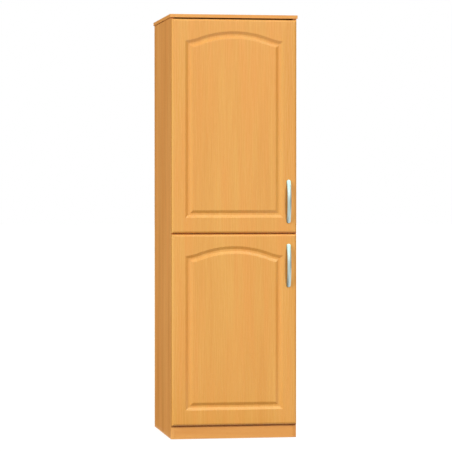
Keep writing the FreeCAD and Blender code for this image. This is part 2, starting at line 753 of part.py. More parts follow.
def hinge_arm(name, level):
    def tall(half):
        return (f"{level} - {half}", f"{level} + {half}")

    eye = rod(name + "_eye", ("hinge_axis_x", "hinge_axis_y", f"{level} - neck_half_width"), "Z",
              "eye_radius", "2 * neck_half_width")
    reach = block(name + "_reach", ("hinge_axis_x", "neck_x + neck_half"),
                  ("hinge_axis_y - neck_half", "hinge_axis_y + reach_rise"), tall("neck_half_width"))
    neck = block(name + "_neck", ("neck_x - neck_half", "neck_x + neck_half"),
                 ("hinge_axis_y - neck_half", "arm_front + 2 * neck_half"), tall("neck_half_width"))
    channel = block(name + "_channel", ("plate_face", "arm_outer"), ("arm_front", "arm_back"),
                    tall("arm_half_width"))
    hollow = block(name + "_hollow", ("plate_face", "arm_web"), ("arm_front + 2 * neck_half", "arm_back"),
                   tall("(arm_half_width - arm_wall)"))
    bore = rod(name + "_bore", ("hinge_axis_x", "hinge_axis_y", f"{level} - neck_half_width"), "Z",
               "hinge_pin_radius + hinge_pin_play", "2 * neck_half_width")
    tools = [hollow, bore]
    screws = []
    for along in ("arm_front + arm_screw_inset", "arm_back - arm_screw_inset"):
        place = ("arm_web", along, level)
        tools.append(rod(f"{name}_hole{len(screws)}", place, "X", "arm_screw_radius + joint_play",
                         "arm_wall"))
        screws.append(headed_pin(f"{name}_screw{len(screws)}", ("arm_outer", along, level), "-X",
                                      "arm_screw_radius", "arm_screw_length",
                                      "arm_screw_head_radius", "arm_screw_head"))
    return cut(name, fuse(name + "_steel", [eye, reach, neck, channel]), tools), screws


def hinge_plate(name, level):
    wing = block(name + "_wing", ("inner_left", "plate_face"),
                 ("plate_y - plate_half_width", "plate_y + plate_half_width"),
                 (f"{level} - plate_half_height", f"{level} + plate_half_height"))
    rib_half = "(arm_half_width - arm_wall - joint_play)"
    rib = block(name + "_rib", ("inner_left", "arm_web"),
                ("arm_front + 2 * neck_half + joint_play", "arm_back"),
                (f"{level} - {rib_half}", f"{level} + {rib_half}"))
    tools = []
    screws = []
    for along in ("arm_front + arm_screw_inset", "arm_back - arm_screw_inset"):
        tools.append(rod(f"{name}_arm_hole{len(tools)}", ("arm_web", along, level), "-X",
                         "arm_screw_radius + joint_play", "arm_screw_length"))
    for sign in ("-", "+"):
        place = ("plate_face", "plate_y", f"{level} {sign} hole_pitch / 2")
        tools.append(rod(f"{name}_hole{len(tools)}", place, "-X", "plate_screw_radius + joint_play",
                         "plate_thickness"))
        screws.append(headed_pin(f"{name}_screw{len(screws)}", place, "-X", "plate_screw_radius",
                                      "plate_screw_length", "plate_screw_head_radius", "plate_screw_head"))
        drill("side_left", ("inner_left", place[1], place[2]), "-X", "plate_screw_radius + joint_play",
              "plate_screw_length")
    return cut(name, fuse(name + "_plate", [wing, rib]), tools), screws


HINGE_PARTS = ("cups", "cup_screws", "pins", "arms", "arm_screws", "plates", "plate_screws")


def make_hinges(which):
    parts = {key: [] for key in HINGE_PARTS}
    for number, level in enumerate(HINGES[which], start=1):
        level = f"({level})"
        cup, cup_screws, pin = hinge_cup(f"{which}_cup_{number}", level)
        arm, arm_screws = hinge_arm(f"{which}_arm_{number}", level)
        plate, plate_screws = hinge_plate(f"{which}_plate_{number}", level)
        parts["cups"].append(cup)
        parts["cup_screws"] += cup_screws
        parts["pins"].append(pin)
        parts["arms"].append(arm)
        parts["arm_screws"] += arm_screws
        parts["plates"].append(plate)
        parts["plate_screws"] += plate_screws
    for key, items in parts.items():
        group(f"{which}_hinge_{key}", items)


def make_bumpers(which):
    """Soft discs on the free edge of a door, which meet the front edge of the right side."""
    bumpers = []
    for level in (f"{which}_door_bottom + bumper_inset", f"{which}_door_top - bumper_inset"):
        place = ("inner_right + board / 2", "door_back", level)
        bumpers.append(rod(f"{which}_bumper_{len(bumpers)}", place, "Y", "bumper_radius",
                           "door_gap - bumper_play"))
    group(f"{which}_door_bumpers", bumpers)


for which in ("upper", "lower"):
    handle_level = f"{which}_handle_level"
    make_door(which, handle_level)
    make_handle(which, handle_level)
    make_hinges(which)
    make_bumpers(which)

for name, blank in boards.items():
    cut(name, blank, drillings[name])

# Every sub-part that becomes a file of its own
NODES = list(boards) + ["upper_back_panel", "adjustable_shelf_1", "adjustable_shelf_2",
                        "shelf_pins", "dowels", "cam_locks", "cam_bolts"]
for which in ("upper", "lower"):
    NODES += [f"{which}_door", f"{which}_door_bumpers", f"{which}_handle", f"{which}_handle_screws"]
    NODES += [f"{which}_hinge_{key}" for key in HINGE_PARTS]

doc.recompute()
failed = [item.Name for item in doc.Objects if "Invalid" in item.State or "Error" in item.State]
if failed:
    raise RuntimeError(f"failed to compute: {failed}")
shapes = {}
for name in NODES:
    node = doc.getObject(name)
    node.Label = name
    if node.Shape.isNull() or not node.Shape.isValid():
        raise RuntimeError(f"bad shape: {name}")
    shapes[name] = node.Shape

os.makedirs("parts", exist_ok=True)
for name, shape in shapes.items():
    shape.exportStep(f"parts/{name}.step")
    box = shape.BoundBox
    print(f"{name}: {len(shape.Solids)} solids, {box.XLength:.1f} x {box.YLength:.1f} x {box.ZLength:.1f}")
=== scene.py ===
# %% [markdown]
# # A tall beech cabinet for a built-in refrigerator
# The construction is already there: boards, doors, hinges and screws arrive as a frame of named
# nodes, each at its real size and on the body that moves it. This lesson dresses that frame. Shapes
# that only need their edges eased are copied and rounded, and shapes with a finer form, such as the
# routed doors and the bow handles, are modelled anew at the same place.

# %% Load the frame
import json
import math

import bmesh
import bpy
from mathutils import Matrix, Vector

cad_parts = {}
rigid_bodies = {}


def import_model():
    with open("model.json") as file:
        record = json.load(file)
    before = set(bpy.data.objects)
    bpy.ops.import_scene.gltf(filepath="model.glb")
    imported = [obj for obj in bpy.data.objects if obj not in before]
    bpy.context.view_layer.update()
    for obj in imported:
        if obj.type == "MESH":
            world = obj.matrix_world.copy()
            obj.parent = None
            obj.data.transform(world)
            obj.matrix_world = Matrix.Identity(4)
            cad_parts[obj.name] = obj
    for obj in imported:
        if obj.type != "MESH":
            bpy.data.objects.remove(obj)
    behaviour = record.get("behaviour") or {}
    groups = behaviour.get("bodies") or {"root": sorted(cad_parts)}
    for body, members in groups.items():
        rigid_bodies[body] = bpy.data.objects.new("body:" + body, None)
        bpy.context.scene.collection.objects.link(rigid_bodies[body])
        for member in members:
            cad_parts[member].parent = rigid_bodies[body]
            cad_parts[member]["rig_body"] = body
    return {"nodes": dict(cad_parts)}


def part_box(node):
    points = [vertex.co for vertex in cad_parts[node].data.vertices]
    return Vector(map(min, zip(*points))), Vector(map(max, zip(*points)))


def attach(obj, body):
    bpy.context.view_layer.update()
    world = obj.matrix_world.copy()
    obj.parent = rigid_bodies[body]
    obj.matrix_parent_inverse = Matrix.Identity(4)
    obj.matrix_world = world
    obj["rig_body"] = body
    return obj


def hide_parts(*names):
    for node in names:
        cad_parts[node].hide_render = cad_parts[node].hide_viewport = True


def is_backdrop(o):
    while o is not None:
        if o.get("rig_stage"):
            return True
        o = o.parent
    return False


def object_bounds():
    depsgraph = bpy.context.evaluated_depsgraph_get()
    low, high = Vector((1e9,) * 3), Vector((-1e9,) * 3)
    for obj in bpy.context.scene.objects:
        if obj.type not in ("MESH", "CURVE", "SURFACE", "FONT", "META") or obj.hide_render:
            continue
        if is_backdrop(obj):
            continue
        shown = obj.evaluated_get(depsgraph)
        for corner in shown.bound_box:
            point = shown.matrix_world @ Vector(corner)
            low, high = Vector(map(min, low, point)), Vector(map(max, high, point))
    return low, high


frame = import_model()
cad_low, cad_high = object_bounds()
nodes = frame["nodes"]
scene = bpy.context.scene
MM = 0.001

# %% [markdown]
# ## The camera
# The photograph was taken from a little left of the cabinet and from far away, so upright edges
# stay nearly parallel. A long lens from eleven metres gives the same mild perspective. Yaw turns the
# camera to the right, and pitch tips it down.

# %% Camera
CAMERA_PLACE = Vector((-1.775, -10.751, 1.182))
CAMERA_YAW = 9.41
CAMERA_PITCH = 0.959
CAMERA_LENS = 179.4
CAMERA_REACH = 100

camera = bpy.data.objects.new("camera", bpy.data.cameras.new("camera"))
scene.collection.objects.link(camera)
scene.camera = camera
camera.location = CAMERA_PLACE
camera.rotation_euler = (math.radians(90 - CAMERA_PITCH), 0, math.radians(-CAMERA_YAW))
camera.data.lens = CAMERA_LENS
camera.data.clip_end = CAMERA_REACH
print(f"camera {CAMERA_PLACE.length:.2f} m from the floor under the cabinet")

# %% [markdown]
# ## Floor, background and light
# A small strong lamp right of the camera draws the shadow of the handles, a large soft one from the
# left shapes the mouldings, and others light the sides and the back. A wide one from the upper right
# only shows in reflections, and puts the sheen on edges that look up. A lamp of level 1 lights a
# surface that faces it so that a colour comes out about as it is written. The lamps are a little cool
# and the light from all round is a little warm, so hollows turn reddish. The background is white only
# to rays that come from the camera, or by a mirror or glass, so it puts no light on the wood. The floor
# glows for those rays too: it comes out white wherever light falls, and keeps a faint shadow.

# %% Colours and nodes
def colour(red, green, blue):
    """Screen colour from 0 to 255 as the linear colour that a shader takes."""
    def linear(value):
        share = value / 255
        return share / 12.92 if share <= 0.04045 else ((share + 0.055) / 1.055) ** 2.4
    return (linear(red), linear(green), linear(blue), 1)


def add_node(tree, kind, inputs=None, **settings):
    """New shader node; an input takes a value or the socket that feeds it."""
    made = tree.nodes.new("ShaderNode" + kind)
    for name, value in settings.items():
        setattr(made, name, value)
    for name, value in (inputs or {}).items():
        if isinstance(value, bpy.types.NodeSocket):
            tree.links.new(value, made.inputs[name])
        else:
            made.inputs[name].default_value = value
    return made


def seen_rays(tree):
    """1 for rays from the camera, straight or by way of a mirror or glass."""
    path = add_node(tree, "LightPath")
    glossy = add_node(tree, "Math", {0: path.outputs["Is Camera Ray"], 1: path.outputs["Is Glossy Ray"]},
                      operation="MAXIMUM")
    return add_node(tree, "Math", {0: glossy.outputs[0], 1: path.outputs["Is Transmission Ray"]},
                    operation="MAXIMUM").outputs[0]


print(f"a screen grey of 128 is {colour(128, 128, 128)[0]:.3f} in linear light")

# %% World
AMBIENT_LEVEL = 0.26
AMBIENT_TINT = (1.0, 0.76, 0.78, 1)
WHITE = colour(255, 255, 255)

world = bpy.data.worlds.new("studio")
scene.world = world
world.use_nodes = True
tree = world.node_tree
tree.nodes.clear()
ambient = add_node(tree, "Background", {"Color": AMBIENT_TINT, "Strength": AMBIENT_LEVEL})
white = add_node(tree, "Background", {"Color": WHITE, "Strength": 1})
either = add_node(tree, "MixShader", {0: seen_rays(tree), 1: ambient.outputs[0], 2: white.outputs[0]})
add_node(tree, "OutputWorld", {"Surface": either.outputs[0]})
scene.view_settings.view_transform = "Standard"
print(f"light from all round: level {AMBIENT_LEVEL}")

# %% Floor
FLOOR_SIDE = 120
FLOOR_GLOW = 0.9
FLOOR_GREY = colour(111, 110, 109)

bpy.ops.object.select_all(action="DESELECT")
bpy.ops.mesh.primitive_plane_add(size=FLOOR_SIDE)
floor = bpy.context.object
floor.name = "floor"
floor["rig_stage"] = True
floor_paint = bpy.data.materials.new("pale floor")
floor_paint.use_nodes = True
tree = floor_paint.node_tree
tree.nodes.clear()
matt = add_node(tree, "BsdfDiffuse", {"Color": FLOOR_GREY})
share = add_node(tree, "Math", {0: seen_rays(tree), 1: FLOOR_GLOW}, operation="MULTIPLY")
glow = add_node(tree, "Emission", {"Color": WHITE, "Strength": share.outputs[0]})
both = add_node(tree, "AddShader", {0: matt.outputs[0], 1: glow.outputs[0]})
add_node(tree, "OutputMaterial", {"Surface": both.outputs[0]})
floor.data.materials.append(floor_paint)
print(f"floor of {FLOOR_SIDE} m")

# %% Lamps
AIM = Vector((0, 0, 1.0))
LAMP_DISTANCE = 150
LAMP_TINT = (0.91, 1.0, 0.98)
SHEEN_TINT = (0.5, 1.0, 0.82)


def lamp(name, azimuth, elevation, size, level, mirrored=False):
    """Soft lamp that either lights the cabinet or is mirrored in it; azimuth 0 is straight in front."""
    turn = math.radians(azimuth)
    rise = math.radians(elevation)
    toward = Vector((math.sin(turn) * math.cos(rise), -math.cos(turn) * math.cos(rise), math.sin(rise)))
    light = bpy.data.lights.new(name, "AREA")
    light.shape = "RECTANGLE"
    light.size, light.size_y = size
    light.color = SHEEN_TINT if mirrored else LAMP_TINT
    light.energy = level * math.pi ** 2 * LAMP_DISTANCE ** 2
    made = bpy.data.objects.new(name, light)
    made.visible_glossy = mirrored
    made.visible_diffuse = not mirrored
    scene.collection.objects.link(made)
    made.location = AIM + toward * LAMP_DISTANCE
    made.rotation_mode = "QUATERNION"
    made.rotation_quaternion = toward.to_track_quat("Z", "Y")
    print(f"{name}: level {level}")


lamp("front lamp", azimuth=16, elevation=30, size=(22, 22), level=0.69)
lamp("key lamp", azimuth=-59, elevation=22, size=(60, 60), level=0.56)
lamp("side lamp", azimuth=-110, elevation=12, size=(50, 50), level=0.36)
lamp("right lamp", azimuth=115, elevation=25, size=(50, 50), level=0.5)
lamp("back lamp", azimuth=178, elevation=35, size=(50, 50), level=0.6)
lamp("sheen lamp", azimuth=26, elevation=47, size=(112, 30), level=0.16, mirrored=True)

# %% [markdown]
# ## Flags
# Satin metal and sheen show whatever stands round the object, and all white surroundings would look
# flat on them. Photographers set dark cards, called flags, outside the picture. These flags exist for
# reflected rays only, so they throw no shadow and are never seen themselves: an off-white sheet and a
# brown one on the floor in front, a grey card on the right, and an upright and a lying brown one behind
# the left side. Bright cards do the opposite. One on the left draws out the edges that look that way,
# and a high one in front brightens the upper half of the bow handles.

# %% Flags
BRIGHT_TINT = (1, 1, 0.95, 1)
PALE = colour(232, 238, 226)
GREY = colour(90, 96, 98)
BROWN = colour(70, 46, 26)


def flag(name, low, high, tone, strength=1):
    """Flat card between two corners that only reflections show."""
    bpy.ops.object.select_all(action="DESELECT")
    bpy.ops.mesh.primitive_cube_add(size=1, location=(low + high) / 2)
    card = bpy.context.object
    card.name = name
    card.scale = high - low
    card.visible_camera = False
    card.visible_diffuse = False
    card.visible_shadow = False
    card.visible_transmission = False
    paint = bpy.data.materials.new(name)
    paint.use_nodes = True
    paint.node_tree.nodes.clear()
    shine = add_node(paint.node_tree, "Emission", {"Color": tone, "Strength": strength})
    add_node(paint.node_tree, "OutputMaterial", {"Surface": shine.outputs[0]})
    card.data.materials.append(paint)
    card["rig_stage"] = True
    print(f"{name}: strength {strength}")


flag("floor flag", Vector((-5, -14, 0.001)), Vector((5, -3.2, 0.002)), PALE)
flag("foot flag", Vector((-1.5, -1.7, 0.001)), Vector((0.34, -0.33, 0.002)), BROWN)
flag("left card", Vector((-3.01, -5, 0)), Vector((-3, -2, 2.6)), (*SHEEN_TINT, 1), strength=2)
flag("high card", Vector((-0.4, -7.01, 2.7)), Vector((5, -7, 4.7)), BRIGHT_TINT, strength=2.8)
flag("right flag", Vector((2.5, -6, 0)), Vector((2.51, 0.3, 3)), GREY)
flag("back flag", Vector((-4, 1.2, 0)), Vector((-0.31, 1.21, 3)), BROWN)
flag("low back flag", Vector((-4, -0.27, 0.001)), Vector((-0.31, 1.2, 0.002)), BROWN)

# %% [markdown]
# ## Beech grain, one group for every wooden surface
# Beech is even and warm: broad soft bands, finer streaks along the grain, and many short dark flecks.
# Noise textures stretched along the grain give these scales, and one more lets the warmth drift. They
# sit in a node group, so that the foil of the doors, the faced boards and the dowels share one grain
# with colours of their own. The group expects coordinates whose Z runs along the grain.

# %% Helpers for node groups
def new_group(name, inputs, outputs):
    group = bpy.data.node_groups.new(name, "ShaderNodeTree")
    for title, kind in inputs:
        group.interface.new_socket(title, in_out="INPUT", socket_type="NodeSocket" + kind)
    for title, kind in outputs:
        group.interface.new_socket(title, in_out="OUTPUT", socket_type="NodeSocket" + kind)
    return group, group.nodes.new("NodeGroupInput"), group.nodes.new("NodeGroupOutput")


def noise(tree, place, across, along, detail=3, rough=0.55):
    """Noise with features about so wide and so long, in metres, stretched along Z."""
    stretch = add_node(tree, "Mapping", {"Vector": place, "Scale": (1 / across, 1 / across, 1 / along)})
    texture = add_node(tree, "TexNoise", {"Vector": stretch.outputs[0], "Scale": 1, "Detail": detail,
                                          "Roughness": rough})
    return texture.outputs["Fac"]


def remap(tree, value, low, high, to_low=0.0, to_high=1.0):
    """Stretch a range of values to another one, and clamp it there."""
    ranged = add_node(tree, "MapRange", {"Value": value, "From Min": low, "From Max": high,
                                         "To Min": to_low, "To Max": to_high})
    return ranged.outputs[0]


def sums(tree, first, second, share):
    """first + second * share"""
    return add_node(tree, "Math", {0: second, 1: share, 2: first}, operation="MULTIPLY_ADD").outputs[0]


def mix_colour(tree, factor, first, second):
    mixed = tree.nodes.new("ShaderNodeMix")
    mixed.data_type = "RGBA"
    for name, value in (("Factor_Float", factor), ("A_Color", first), ("B_Color", second)):
        socket = next(item for item in mixed.inputs if item.identifier == name)
        if isinstance(value, bpy.types.NodeSocket):
            tree.links.new(value, socket)
        else:
            socket.default_value = value
    return next(item for item in mixed.outputs if item.identifier == "Result_Color")


# %% The grain group
grain, entry, leave = new_group(
    "beech grain",
    [("Place", "Vector"), ("Dark", "Color"), ("Light", "Color"), ("Warm", "Color"), ("Fleck", "Color"),
     ("Rough", "Float")],
    [("Colour", "Color"), ("Roughness", "Float"), ("Height", "Float")])
place = entry.outputs["Place"]
band = noise(grain, place, across=0.09, along=1.6)
streak = noise(grain, place, across=0.022, along=0.5, detail=4)
thread = noise(grain, place, across=0.0042, along=0.16)
fleck = remap(grain, noise(grain, place, across=0.0011, along=0.012, detail=2), low=0.60, high=0.74)
drift = noise(grain, place, across=0.05, along=0.7, detail=2)
tone = sums(grain, 0.0, band, share=0.5)
tone = sums(grain, tone, streak, share=0.38)
tone = sums(grain, tone, thread, share=0.12)
tone = remap(grain, tone, low=0.36, high=0.64)
warmth = remap(grain, drift, low=0.42, high=0.68, to_high=0.7)
fleck_share = remap(grain, fleck, low=0, high=1, to_high=0.5)
wood = mix_colour(grain, tone, entry.outputs["Dark"], entry.outputs["Light"])
wood = mix_colour(grain, warmth, wood, entry.outputs["Warm"])
wood = mix_colour(grain, fleck_share, wood, entry.outputs["Fleck"])
grain.links.new(wood, leave.inputs["Colour"])
uneven = remap(grain, thread, low=0.3, high=0.7, to_low=-0.05, to_high=0.05)
sheen = sums(grain, entry.outputs["Rough"], uneven, share=1.0)
sheen = sums(grain, sheen, fleck, share=0.12)
grain.links.new(sheen, leave.inputs["Roughness"])
relief = sums(grain, thread, fleck, share=-1.2)
grain.links.new(relief, leave.inputs["Height"])
print(f"grain group with {len(grain.nodes)} nodes")

# %% [markdown]
# ## The wooden finishes
# Each wooden finish is one material: Object coordinates, a Mapping that turns the grain along the
# board, the grain group and a Principled shader. Doors and sides have upright grain. Shelves, the
# plinth and the top have level grain, so there the coordinates are turned a quarter about Y. The sides
# show the strongest streaks, so their dark and light tones lie further apart.

# %% Wooden materials
UPRIGHT = (0, 0, 0)
LEVEL = (0, math.radians(90), 0)
WOOD_SPECULAR = 0.55


def new_material(name):
    material = bpy.data.materials.new(name)
    material.use_nodes = True
    tree = material.node_tree
    shader = tree.nodes["Principled BSDF"]
    return material, tree, shader


def object_place(tree, turn=UPRIGHT, shift=(0, 0, 0)):
    """Object coordinates, turned and shifted."""
    source = add_node(tree, "TexCoord")
    return add_node(tree, "Mapping", {"Vector": source.outputs["Object"], "Rotation": turn,
                                      "Location": shift}).outputs[0]


def raise_relief(tree, shader, height, strength, distance):
    """Bump from a height on the shader's normal."""
    bump = add_node(tree, "Bump", {"Height": height, "Strength": strength, "Distance": distance})
    tree.links.new(bump.outputs[0], shader.inputs["Normal"])


def wood_material(name, turn, shift, dark, light, warm, fleck, rough):
    material, tree, shader = new_material(name)
    group = tree.nodes.new("ShaderNodeGroup")
    group.node_tree = grain
    tree.links.new(object_place(tree, turn, shift), group.inputs["Place"])
    values = {"Dark": dark, "Light": light, "Warm": warm, "Fleck": fleck, "Rough": rough}
    for title, value in values.items():
        group.inputs[title].default_value = value
    tree.links.new(group.outputs["Colour"], shader.inputs["Base Color"])
    tree.links.new(group.outputs["Roughness"], shader.inputs["Roughness"])
    shader.inputs["Specular IOR Level"].default_value = WOOD_SPECULAR
    raise_relief(tree, shader, group.outputs["Height"], strength=0.12, distance=0.1 * MM)
    return material


FOIL = dict(dark=colour(226, 154, 71), light=colour(234, 170, 85), warm=colour(234, 157, 75),
            fleck=colour(198, 128, 54), rough=0.27)
BOARD = dict(dark=colour(222, 146, 72), light=colour(234, 166, 89), warm=colour(229, 151, 78),
             fleck=colour(187, 120, 57), rough=0.46)
SIDE = dict(dark=colour(208, 133, 60), light=colour(241, 173, 97), warm=colour(229, 151, 78),
            fleck=colour(182, 114, 52), rough=0.46)
door_foil = wood_material("beech foil", UPRIGHT, (0.3, 0, 0), **FOIL)
board_upright = wood_material("beech board upright", UPRIGHT, (1.1, 0.4, 0), **SIDE)
board_level = wood_material("beech board level", LEVEL, (0.6, 0.2, 0.9), **BOARD)
print("wooden finishes:", door_foil.name, board_upright.name, board_level.name)

# %% [markdown]
# ## Raw board, hardboard and dowels
# Where a drill or a saw has opened a board, the core shows: pressed chips in several browns. Cells of
# a Voronoi texture stand for the chips. The thin back panel is hardboard, smooth in front and dark at
# the back, with the fine screen print of the press that made it. Two crossed wave textures give that
# print, and the length of one wave at scale 1 sets their scale.

# %% Chips, hardboard and dowel
CHIP_SIZE = 2.2 * MM
SCREEN_PITCH = 1.6 * MM
WAVE_LENGTH = 0.314

raw_chips, tree, shader = new_material("raw chipboard")
cells = add_node(tree, "TexVoronoi", {"Vector": object_place(tree), "Scale": 1 / CHIP_SIZE,
                                      "Randomness": 1})
chip_tone = add_node(tree, "SeparateColor", {"Color": cells.outputs["Color"]}).outputs[0]
chips = mix_colour(tree, chip_tone, colour(150, 112, 70), colour(204, 166, 116))
tree.links.new(chips, shader.inputs["Base Color"])
chip_rough = remap(tree, chip_tone, low=0, high=1, to_low=0.75, to_high=0.9)
tree.links.new(chip_rough, shader.inputs["Roughness"])
raise_relief(tree, shader, cells.outputs["Distance"], strength=0.5, distance=0.3 * MM)

hardboard_back, tree, shader = new_material("hardboard back")
place = object_place(tree)
waves = []
for direction in ("X", "Z"):
    wave = add_node(tree, "TexWave", {"Vector": place, "Scale": WAVE_LENGTH / SCREEN_PITCH},
                    wave_type="BANDS", bands_direction=direction)
    waves.append(wave.outputs["Fac"])
screen = add_node(tree, "Math", {0: waves[0], 1: waves[1]}, operation="MULTIPLY").outputs[0]
fibre = noise(tree, place, across=0.006, along=0.006, detail=5, rough=0.7)
brown = mix_colour(tree, fibre, colour(112, 74, 44), colour(150, 104, 66))
tree.links.new(brown, shader.inputs["Base Color"])
fibre_rough = remap(tree, fibre, low=0.3, high=0.7, to_low=0.62, to_high=0.8)
tree.links.new(fibre_rough, shader.inputs["Roughness"])
raise_relief(tree, shader, screen, strength=0.5, distance=0.15 * MM)

DOWEL = dict(dark=colour(190, 146, 98), light=colour(214, 174, 124), warm=colour(202, 156, 106),
             fleck=colour(160, 114, 70), rough=0.62)
dowel_wood = wood_material("dowel beech", LEVEL, (0.2, 0.1, 0.3), **DOWEL)
hardboard_front = wood_material("hardboard beech lacquer", UPRIGHT, (2.2, 0.7, 0.4), **BOARD)
print("raw finishes:", raw_chips.name, hardboard_back.name, dowel_wood.name)

# %% [markdown]
# ## Metal and soft plastic
# The handles are satin: brushed along their length, which shows as faint stretched noise in the
# roughness. Hinges are nickel plated and brighter, screws and cam fittings are dull zinc with cloudy
# patches. A thin plating scatters part of the light, so these two are a little less metallic and keep
# their grey inside a box of red-brown wood. The door bumpers are soft plastic, gone a little milky.

# %% Metals and bumpers
def metal_material(name, dark, light, rough, cloud, along, relief, metallic=1):
    """Metal whose tone and roughness follow one noise: clouds, or brushing when stretched."""
    material, tree, shader = new_material(name)
    shader.inputs["Metallic"].default_value = metallic
    texture = noise(tree, object_place(tree), across=cloud, along=along, detail=4)
    tree.links.new(mix_colour(tree, texture, dark, light), shader.inputs["Base Color"])
    uneven = remap(tree, texture, low=0.3, high=0.7, to_low=rough - 0.05, to_high=rough + 0.05)
    tree.links.new(uneven, shader.inputs["Roughness"])
    raise_relief(tree, shader, texture, strength=relief, distance=0.02 * MM)
    return material


PLATED = 0.75
SEE_THROUGH = 0.35
satin = metal_material("satin handle", colour(184, 202, 200), colour(202, 218, 216),
                       rough=0.34, cloud=0.4 * MM, along=30 * MM, relief=0.25)
nickel = metal_material("nickel plate", colour(182, 181, 174), colour(206, 205, 199),
                        rough=0.24, cloud=9 * MM, along=12 * MM, relief=0.1, metallic=PLATED)
zinc = metal_material("zinc plate", colour(160, 162, 164), colour(190, 192, 194),
                      rough=0.38, cloud=5 * MM, along=6 * MM, relief=0.15, metallic=PLATED)

bumper_plastic, tree, shader = new_material("milky bumper")
cloud = noise(tree, object_place(tree), across=3 * MM, along=3 * MM)
milk = mix_colour(tree, cloud, colour(214, 210, 198), colour(232, 229, 220))
tree.links.new(milk, shader.inputs["Base Color"])
milk_rough = remap(tree, cloud, low=0.3, high=0.7, to_low=0.35, to_high=0.5)
tree.links.new(milk_rough, shader.inputs["Roughness"])
shader.inputs["Transmission Weight"].default_value = SEE_THROUGH
print("metals and plastic:", satin.name, nickel.name, zinc.name, bumper_plastic.name)

# %% [markdown]
# ## Working on pieces
# Operators act on what is selected and active, so a helper clears the selection before it picks a
# piece. Another works in edit mode, and selects faces or edges by a test on their place. A finished
# piece rides on the same body as the node that it stands for, and that node is hidden.

# %% Helpers for pieces
MERGE_DISTANCE = 0.002 * MM
MITRE_LEAN = 0.02
MITRE_TURN = math.radians(40)
FLAT_ANGLE = math.radians(1)


def pick(piece):
    if bpy.context.mode != "OBJECT":
        bpy.ops.object.mode_set(mode="OBJECT")
    bpy.ops.object.select_all(action="DESELECT")
    piece.select_set(True)
    bpy.context.view_layer.objects.active = piece


def select_where(kind, test):
    """In edit mode, select the vertices, edges or faces that pass a test."""
    bpy.ops.mesh.select_mode(type=kind)
    bpy.ops.mesh.select_all(action="DESELECT")
    mesh = bpy.context.edit_object.data
    work = bmesh.from_edit_mesh(mesh)
    items = {"VERT": work.verts, "EDGE": work.edges, "FACE": work.faces}[kind]
    for item in items:
        if test(item):
            item.select_set(True)
    bmesh.update_edit_mesh(mesh)


def apply_modifier(piece, kind, **settings):
    pick(piece)
    modifier = piece.modifiers.new(kind.lower(), kind)
    for name, value in settings.items():
        setattr(modifier, name, value)
    bpy.ops.object.modifier_apply(modifier=modifier.name)


def add_block(name, low, high):
    """Cube primitive between two corners, with its place in its mesh."""
    bpy.ops.object.select_all(action="DESELECT")
    bpy.ops.mesh.primitive_cube_add(size=1, location=(low + high) / 2)
    piece = bpy.context.object
    piece.name = name
    piece.scale = high - low
    bpy.ops.object.transform_apply(location=True, rotation=True, scale=True)
    return piece


def cut_by(piece, tool, operation="DIFFERENCE"):
    """Boolean with a helper shape, which is then removed."""
    apply_modifier(piece, "BOOLEAN", object=tool, operation=operation, solver="EXACT")
    bpy.data.objects.remove(tool)


def smooth(piece, degrees=32):
    """Round faces shade smooth, and flat faces stay flat by weighted normals."""
    pick(piece)
    bpy.ops.object.shade_smooth_by_angle(angle=math.radians(degrees))
    apply_modifier(piece, "WEIGHTED_NORMAL", keep_sharp=True, weight=100)


def is_mitre(edge):
    """True where two sloping faces of a moulding meet at a corner, seen from the front."""
    leans = [Vector((face.normal.x, face.normal.z)) for face in edge.link_faces]
    if len(leans) != 2 or min(lean.length for lean in leans) < MITRE_LEAN:
        return False
    return leans[0].angle(leans[1]) > MITRE_TURN


def mark_mitres(piece):
    """Keep the mitres crisp, so that one slope doesn't shade into the next."""
    pick(piece)
    bpy.ops.object.mode_set(mode="EDIT")
    select_where("EDGE", is_mitre)
    bpy.ops.mesh.mark_sharp()
    bpy.ops.object.mode_set(mode="OBJECT")


def bevel_rims(piece, width, segments, degrees, **settings):
    """Bevel the edges that turn by more than so many degrees."""
    apply_modifier(piece, "BEVEL", width=width, segments=segments, limit_method="ANGLE",
                   angle_limit=math.radians(degrees), **settings)


def stand_for(piece, node):
    """Ride on the node's body and hide the node, as the piece that stands for it."""
    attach(piece, nodes[node]["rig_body"])
    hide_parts(node)


def copy_node(node):
    """Merged copy of a node's mesh under a name of its own."""
    piece = bpy.data.objects.new(node + "_dressed", nodes[node].data.copy())
    scene.collection.objects.link(piece)
    piece.data.materials.clear()
    pick(piece)
    bpy.ops.mesh.customdata_custom_splitnormals_clear()
    bpy.ops.object.mode_set(mode="EDIT")
    bpy.ops.mesh.select_all(action="SELECT")
    bpy.ops.mesh.remove_doubles(threshold=MERGE_DISTANCE)
    bpy.ops.object.mode_set(mode="OBJECT")
    return piece


def whole_faces(piece):
    """Dissolve the triangles of a flat side to one face."""
    pick(piece)
    bpy.ops.object.mode_set(mode="EDIT")
    bpy.ops.mesh.select_all(action="SELECT")
    bpy.ops.mesh.dissolve_limited(angle_limit=FLAT_ANGLE)
    bpy.ops.object.mode_set(mode="OBJECT")


# %% [markdown]
# ## Boards with eased edges
# A faced board has edge strips whose corners are scraped round by about a millimetre, and that fine
# line of light is what makes a board look real. Bevelling a drilled board would stumble over the
# holes. So a plain block is bevelled instead, and only what the board and the block share is kept:
# the holes come from the board and the round edges from the block. Faces that lie deeper than the
# skin are the walls of holes and grooves, and there the chips show.

# %% Boards
EASED_EDGE = 0.9 * MM
BLOCK_MARGIN = 0.01 * MM
SKIN = 1.5 * MM


